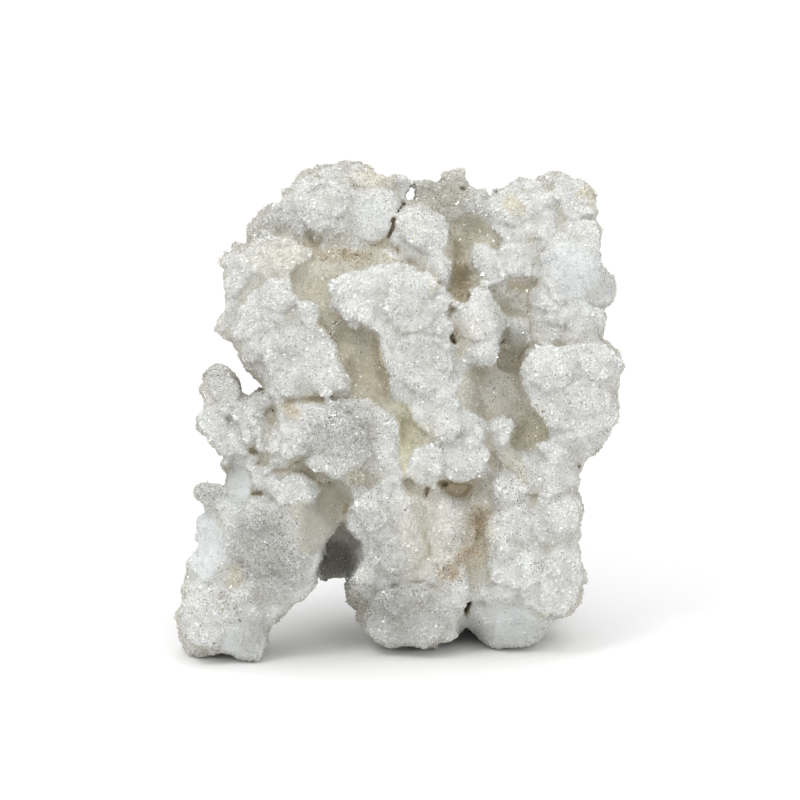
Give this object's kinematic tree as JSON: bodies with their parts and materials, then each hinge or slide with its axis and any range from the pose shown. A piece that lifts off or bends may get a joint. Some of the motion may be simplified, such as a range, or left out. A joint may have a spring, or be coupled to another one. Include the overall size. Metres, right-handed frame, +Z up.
{
  "type": "white aragonite cluster",
  "caption": "Coral-like mass of white aragonite in rounded, sugary lumps: a knobbly crown, a hanging tongue and stubby legs that it stands on.",
  "frame": {"origin": "middle of the bounding box's base, on the plane that the feet stand on", "axes": "+Z up, -Y out of the broad front face, +X to the right as seen from the front"},
  "size_m": [0.1048, 0.0736, 0.1121],
  "materials": {
    "aragonite": "white, sugary and glittering, with smooth translucent patches, warm beige recesses and rusty specks"
  },
  "bodies": {
    "root": {"aragonite_cluster": "aragonite"}
  },
  "joints": []
}
